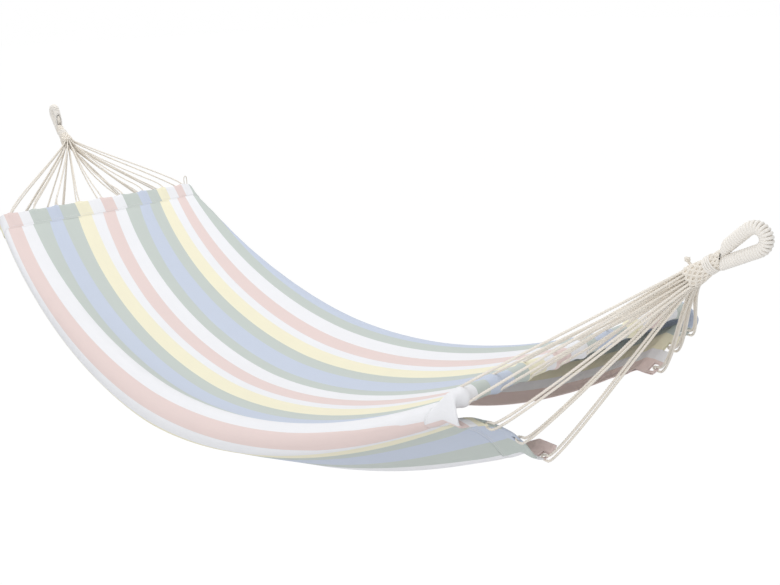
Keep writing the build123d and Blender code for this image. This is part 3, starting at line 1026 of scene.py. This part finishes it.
class HAMMOCK_OT_hems(bpy.types.Operator):
    """Make the two hems with the bars' tunnels, slots and stitches"""

    bl_idname = "hammock.hems"
    bl_label = "Hems"

    def execute(self, context):
        material = cloth_finish("Striped Hem", 26.0)
        thread = cord_finish("Hem Thread", colours().thread, 0.0001)
        flap = flap_profile()
        for end, name in END_NAMES.items():
            profiles = [tunnel_profile(end, SLEEVE_R + 3.4 * MM * i / 12) for i in range(13)]
            ts = hem_rows(end)
            edges = stripe_edges(end * HALF_SPAN)
            near, far = cloth_runs(end * HALF_SPAN)[2:]
            near_end, far_end = near[0][0], far[0][0]
            count = len(flap)
            rows = [
                [
                    hem_point(end, t, v, profiles, flap, near_end, far_end, sizes().seed) + HOME
                    for v in range(count)
                ]
                for t in ts
            ]
            slots = [y - SEAMS[end] for y in bar_loop_places()]
            holes = [t for t, side, point in flap_loop_places(end)]
            hole_x = FLAP_REACH - FLAP_HOLE_SETBACK

            def skip(i, j):
                t = (ts[i] + ts[i + 1]) / 2
                angle = profiles[0][1][j]
                if angle is not None and any(abs(t - slot) < SLOT_HALF for slot in slots):
                    return radians(-62) < angle < radians(78)
                if any(abs(t - hole) < SLIT_HALF for hole in holes):
                    x = (flap[j][0] + flap[j + 1][0]) / 2
                    return abs(x - hole_x) < 4.5 * MM
                return False

            mesh = grid_mesh(
                name + "_hem_band", rows, skip,
                uv=lambda i, j: (stripe_place(edges, ts[i]), j * 0.11),
            )
            if end < 0:
                mesh.flip_normals()
            hem = add_piece(
                name + "_hem_sleeve", mesh, material, "bed", (name + "_hem",),
                HEM_CLOTH,
            )
            seam_x = end * (HALF_SPAN - SEAM_DEPTH)
            for row in (1, 2):
                points = [
                    rows[i][row] + cloth_normal(seam_x, ts[i]) * 0.7 * MM for i in range(len(ts))
                ]
                curve = route_curve(f"{name}_seam_{row}", points, smooth=False)
                stitches = baked(curve, stitch_nodes, pitch=sizes().stitch_pitch, material=thread)
                drop(curve)
                add_piece(f"{name}_hem_stitches_{row}", stitches, thread, "bed")
        return {"FINISHED"}


def ring_frame(end):
    """Direction of the ring and the direction square to it."""
    tilt = RING_TILT[end]
    return Vector((end * cos(tilt), 0.0, sin(tilt))), Vector((-end * sin(tilt), 0.0, cos(tilt)))


def ring_line(end, count):
    """Middle line of the ring, from past one leg's end to past the other's."""
    out, square = ring_frame(end)
    crown = RING_LENGTH - RING_OUTER_R - RING_BEND_R
    middle = throat(end) + out * crown
    reach = hypot(crown, RING_LEG_OFFSET)
    lean = pi - (acos(RING_BEND_R / reach) + atan2(RING_LEG_OFFSET, crown))
    bend = [
        middle + out * (RING_BEND_R * cos(a)) + square * (RING_BEND_R * sin(a))
        for a in spread(lean, -lean, 25)
    ]
    start = throat(end) + square * RING_LEG_OFFSET
    stop = throat(end) - square * RING_LEG_OFFSET
    before = start + (start - bend[0]).normalized() * 12 * MM
    after = stop + (stop - bend[-1]).normalized() * 12 * MM
    legs = [before.lerp(bend[0], i / 8) for i in range(8)]
    back = [bend[-1].lerp(after, (i + 1) / 8) for i in range(8)]
    return [point + HOME for point in legs + bend + back]


def cut_at_throat(mesh, end, side):
    """Cut a mesh at the throat, and keep its ring side or its neck side."""
    bm = bmesh.new()
    bm.from_mesh(mesh)
    plane = throat(end) + HOME + Vector((end * side * 0.3 * MM, 0.0, 0.0))
    cut = bmesh.ops.bisect_plane(
        bm, geom=bm.verts[:] + bm.edges[:] + bm.faces[:], dist=1e-6, plane_co=plane,
        plane_no=(end * side, 0.0, 0.0), clear_inner=True,
    )
    edges = [item for item in cut["geom_cut"] if isinstance(item, bmesh.types.BMEdge)]
    bmesh.ops.holes_fill(bm, edges=edges, sides=0)
    bm.to_mesh(mesh)
    bm.free()
    smooth(mesh)


class HAMMOCK_OT_rings(bpy.types.Operator):
    """Make the two hanging rings: rope wound with cord"""

    bl_idname = "hammock.rings"
    bl_label = "Hanging Rings"

    def execute(self, context):
        s = sizes()
        winding = cord_finish("Whipping Cotton", colours().whipping, 0.0003)
        rope = cord_finish("Ring Rope", colours().cord, 0.0004)
        for end, name in END_NAMES.items():
            curve = route_curve(name + "_ring_guide", ring_line(end, 25), smooth=False)
            turns = baked(
                curve, ribs_nodes, turns=s.whipping_ribs, winding_radius=RING_OUTER_R - 2.0 * MM,
                cord_radius=2.6 * MM, uneven=0.012, seed=s.seed + end, material=winding,
            )
            core = twist_cord(curve, RING_CORE_R, 0.05, 0.03, 0.004, rope)
            cut_at_throat(turns, end, 1)
            cut_at_throat(core, end, 1)
            add_piece(
                name + "_whipping", turns, winding, "rings",
                (name + "_ring_whipping",),
            )
            add_piece(name + "_ring_rope", core, rope, "rings", (name + "_ring_core",))
        return {"FINISHED"}


def neck_radius(distance, angle):
    """Neck's radius at a distance below the throat, round its axis."""
    barrel = NECK_BARREL * 0.5
    share = min(1.0, max(0.0, (distance - barrel) / (NECK_LENGTH - barrel)))
    share = share * share * (3 - 2 * share)
    wide = NECK_TOP_R + (NECK_BASE_W / 2 - NECK_TOP_R) * share
    high = NECK_TOP_R + (NECK_BASE_H / 2 - NECK_TOP_R) * share
    power = 2 + 1.2 * share
    c = abs(cos(angle)) / wide
    s = abs(sin(angle)) / high
    return (c**power + s**power) ** (-1 / power)


def neck_point(end, share, angle, inset):
    """Point of the neck's skin, from its base at 0 to past the throat at 1."""
    distance = NECK_LENGTH - share * (NECK_LENGTH + 12 * MM)
    radius = neck_radius(distance, angle) - inset
    axis = throat(end) - clew_axis(end) * distance
    side = Vector((0.0, cos(angle) * radius, 0.0))
    return axis + side + clew_up(end) * sin(angle) * radius + HOME


def plait_strand(end, turn, k):
    """Line of one strand of the plait, which winds one way and weaves over and under."""
    points = []
    for share in spread(0.0, 1.0, 44):
        angle = 2 * pi * k / PLAIT_STRANDS + turn * share * 2 * pi * 0.62
        weave = cos(angle * PLAIT_STRANDS * 0.5 + (pi / 2 if turn > 0 else -pi / 2))
        points.append(neck_point(end, share, angle, PLAIT_R - weave * turn * 0.6 * MM))
    return points


class HAMMOCK_OT_necks(bpy.types.Operator):
    """Make the plaited necks and their bindings"""

    bl_idname = "hammock.necks"
    bl_label = "Necks"

    def execute(self, context):
        plait = cord_finish("Plaited Cotton", colours().cord, 0.0004)
        winding = cord_finish("Binding Cotton", colours().whipping, 0.0003)
        for end, name in END_NAMES.items():
            rows = [
                [neck_point(end, share, a, 3.2 * MM) for a in spread(0, 2 * pi, 33)]
                for share in spread(0.0, 1.0, 24)
            ]
            core = grid_mesh(name + "_neck_core", rows)
            bm = bmesh.new()
            bm.from_mesh(core)
            bmesh.ops.remove_doubles(bm, verts=bm.verts, dist=1e-6)
            bmesh.ops.holes_fill(bm, edges=[e for e in bm.edges if e.is_boundary], sides=0)
            bmesh.ops.recalc_face_normals(bm, faces=bm.faces)
            bm.to_mesh(core)
            bm.free()
            meshes = [core]
            for turn in (-1, 1):
                for k in range(PLAIT_STRANDS):
                    points = plait_strand(end, turn, k)
                    curve = route_curve(f"{name}_plait", points, smooth=False)
                    meshes.append(twist_cord(curve, PLAIT_R, 0.14, 0.012, CORD_STEP, plait))
            whole = join_meshes(name + "_neck_plait", meshes)
            cut_at_throat(whole, end, -1)
            add_piece(name + "_plaited_neck", whole, plait, "bed", (name + "_neck",))
            axis = clew_axis(end)
            foot = throat(end) - axis * 22 * MM + HOME
            half = axis * 5.5 * MM
            guide = route_curve(name + "_binding_guide", [foot - half, foot + half], False)
            turns = baked(
                guide, ribs_nodes, turns=4, winding_radius=NECK_TOP_R + 0.9 * MM,
                cord_radius=1.6 * MM, uneven=0.01, seed=5, material=winding,
            )
            drop(guide)
            add_piece(
                name + "_neck_binding", turns, winding, "bed",
                (name + "_throat_binding",),
            )
        return {"FINISHED"}


class HAMMOCK_OT_bars(bpy.types.Operator):
    """Finish the two spreader bars as pine"""

    bl_idname = "hammock.bars"
    bl_label = "Spreader Bars"

    def execute(self, context):
        material = wood_finish()
        for name in END_NAMES.values():
            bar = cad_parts[name + "_bar"]
            bar.data.materials.clear()
            bar.data.materials.append(material)
        return {"FINISHED"}


class HAMMOCK_OT_trim(bpy.types.Operator):
    """Make the knotted cord end and the small tie loop"""

    bl_idname = "hammock.trim"
    bl_label = "Cord End and Tie Loop"

    def execute(self, context):
        cotton = cord_finish("Trim Cotton", colours().cord, 0.0003)
        up = clew_up(1)
        foot = throat(1) - clew_axis(1) * (NECK_LENGTH - 9 * MM) + up * 16.0 * MM + HOME
        tip = foot + up * 9 * MM + Vector((-2 * MM, 1 * MM, 0))
        stub = route_curve("cord_end_guide", [foot, foot + up * 4 * MM, tip])
        cord = twist_cord(stub, CORD_R, 0.16, 0.012, 0.0015, cotton)
        knot_middle = foot + up * 9.5 * MM
        turn = [
            knot_middle + Vector((cos(a) * 2.6 * MM, sin(a) * 2.6 * MM, sin(1.5 * a) * 2.0 * MM))
            for a in spread(0, 4 * pi, 40)
        ]
        wrap = route_curve("knot_guide", turn, smooth=False)
        knot = twist_cord(wrap, CORD_R * 0.85, 0.14, 0.012, 0.0015, cotton)
        whole = join_meshes("cord_end", (cord, knot))
        add_piece("knotted_cord_end", whole, cotton, "bed", ("right_cord_end",))
        y = BAR_LENGTH / 2 - 8 * MM
        foot_z = SLEEVE_R + 0.4 * MM
        arch = [
            Vector((-HALF_SPAN, y + across * MM, foot_z + rise * MM)) for across, rise in TIE_ARCH
        ]
        guide = route_curve("tie_guide", [point + HOME for point in arch])
        tie = twist_cord(guide, 1.5 * MM, 0.16, 0.009, 0.0012, cotton)
        add_piece("tie_loop", tie, cotton, "bed", ("left_tie_loop",))
        return {"FINISHED"}


def area_light(name, place, target, size, energy):
    """Soft lamp that points at a place."""
    lamp = bpy.data.lights.new(name, "AREA")
    lamp.shape = "DISK"
    lamp.size = size
    lamp.energy = energy
    holder = add_object(name, lamp)
    holder.location = place
    holder.rotation_euler = (target - place).to_track_quat("-Z", "Y").to_euler()


def glow(tree, kind, colour, strength):
    """Node that shines evenly in one colour."""
    node = tree.nodes.new(kind)
    node.inputs[0].default_value = (*colour, 1.0)
    node.inputs[1].default_value = strength
    return node


def mix_shaders(tree, share, first, second):
    """Socket of two shaders mixed by a share."""
    node = tree.nodes.new("ShaderNodeMixShader")
    feed(tree, node.inputs[0], share)
    tree.links.new(first.outputs[0], node.inputs[1])
    tree.links.new(second.outputs[0], node.inputs[2])
    return node.outputs[0]


def light_world(scene):
    """White where the camera looks, and soft light on everything else."""
    world = bpy.data.worlds.new("Studio")
    scene.world = world
    world.use_nodes = True
    tree = world.node_tree
    tree.nodes.clear()
    path = tree.nodes.new("ShaderNodeLightPath")
    seen = Value(tree, path.outputs["Is Camera Ray"])
    shiny = Value(tree, path.outputs["Is Glossy Ray"])
    through = Value(tree, path.outputs["Is Transmission Ray"])
    direct = seen.maths("MINIMUM", seen + shiny + through, 1.0)
    white = glow(tree, "ShaderNodeBackground", (1.0, 1.0, 1.0), 1.0)
    soft = glow(tree, "ShaderNodeBackground", (0.97, 0.98, 1.0), 0.74)
    output = tree.nodes.new("ShaderNodeOutputWorld")
    tree.links.new(mix_shaders(tree, direct, soft, white), output.inputs[0])


def lay_floor():
    """Wide white floor far below the hammock."""
    f = Finish("Studio Floor")
    ray = f.node("ShaderNodeLightPath", output="Is Camera Ray")
    white = glow(f.tree, "ShaderNodeEmission", (1.0, 1.0, 1.0), 1.06)
    f.finish(Base_Color=(0.92, 0.92, 0.92), Roughness=0.9)
    mixed = mix_shaders(f.tree, ray * 0.85, f.shader, white)
    f.tree.links.new(mixed, f.tree.nodes["Material Output"].inputs[0])
    mesh = bpy.data.meshes.new("floor")
    corners = ((-1, -1), (1, -1), (1, 1), (-1, 1))
    mesh.from_pydata(
        [(x * FLOOR_SIZE, y * FLOOR_SIZE, FLOOR_Z) for x, y in corners], [], [(0, 1, 2, 3)]
    )
    mesh.materials.append(f.material)
    add_object("floor", mesh)


def set_camera(scene):
    """Camera with the photo's place, turn and focal length."""
    level = cos(CAMERA_ELEVATION)
    back = Vector(
        (sin(CAMERA_AZIMUTH) * level, -cos(CAMERA_AZIMUTH) * level, sin(CAMERA_ELEVATION))
    )
    right = (-back).cross(Vector((0.0, 0.0, 1.0))).normalized()
    up = right.cross(-back)
    turned_right = right * cos(CAMERA_ROLL) + up * sin(CAMERA_ROLL)
    turned_up = up * cos(CAMERA_ROLL) - right * sin(CAMERA_ROLL)
    lens = bpy.data.cameras.new("Camera")
    lens.lens = FOCAL_LENGTH_PIXELS * SENSOR_WIDTH / PHOTO_WIDTH
    lens.sensor_width = SENSOR_WIDTH
    lens.clip_end = 100
    camera = add_object("Camera", lens)
    turn = Matrix((turned_right, turned_up, back)).transposed()
    camera.matrix_world = Matrix.Translation(CAMERA_PLACE + HOME) @ turn.to_4x4()
    scene.camera = camera


class HAMMOCK_OT_stage(bpy.types.Operator):
    """Make the floor, lights, world and camera"""

    bl_idname = "hammock.stage"
    bl_label = "Stage"

    def execute(self, context):
        scene = context.scene
        scene.view_settings.view_transform = "Standard"
        light_world(scene)
        lay_floor()
        middle = HOME + Vector((0.0, 0.0, -0.15))
        area_light("Overhead", middle + Vector((-0.6, 0.6, 2.6)), middle, 3.2, 34.0)
        area_light("Camera side", middle + Vector((1.6, -2.6, 1.3)), middle, 2.4, 24.0)
        set_camera(scene)
        return {"FINISHED"}


class HAMMOCK_PT_panel(bpy.types.Panel):
    """Buttons for the hammock's pieces"""

    bl_label = "Hammock"
    bl_space_type = "VIEW_3D"
    bl_region_type = "UI"
    bl_category = "Hammock"

    def draw(self, context):
        for group in (context.scene.hammock_sizes, context.scene.hammock_colours):
            for key in group.__annotations__:
                self.layout.prop(group, key)
        for operator in OPERATORS:
            self.layout.operator(operator.bl_idname)


OPERATORS = (
    HAMMOCK_OT_stage,
    HAMMOCK_OT_cords,
    HAMMOCK_OT_bed,
    HAMMOCK_OT_hems,
    HAMMOCK_OT_necks,
    HAMMOCK_OT_rings,
    HAMMOCK_OT_bars,
    HAMMOCK_OT_trim,
)
CLASSES = (HammockSizes, HammockColours, *OPERATORS, HAMMOCK_PT_panel)


def register():
    for item in CLASSES:
        bpy.utils.register_class(item)
    bpy.types.Scene.hammock_sizes = PointerProperty(type=HammockSizes)
    bpy.types.Scene.hammock_colours = PointerProperty(type=HammockColours)


def unregister():
    del bpy.types.Scene.hammock_colours
    del bpy.types.Scene.hammock_sizes
    for item in reversed(CLASSES):
        bpy.utils.unregister_class(item)


def main():
    register()
    for operator in OPERATORS:
        group, name = operator.bl_idname.split(".")
        getattr(getattr(bpy.ops, group), name)()


if __name__ == "__main__":
    main()
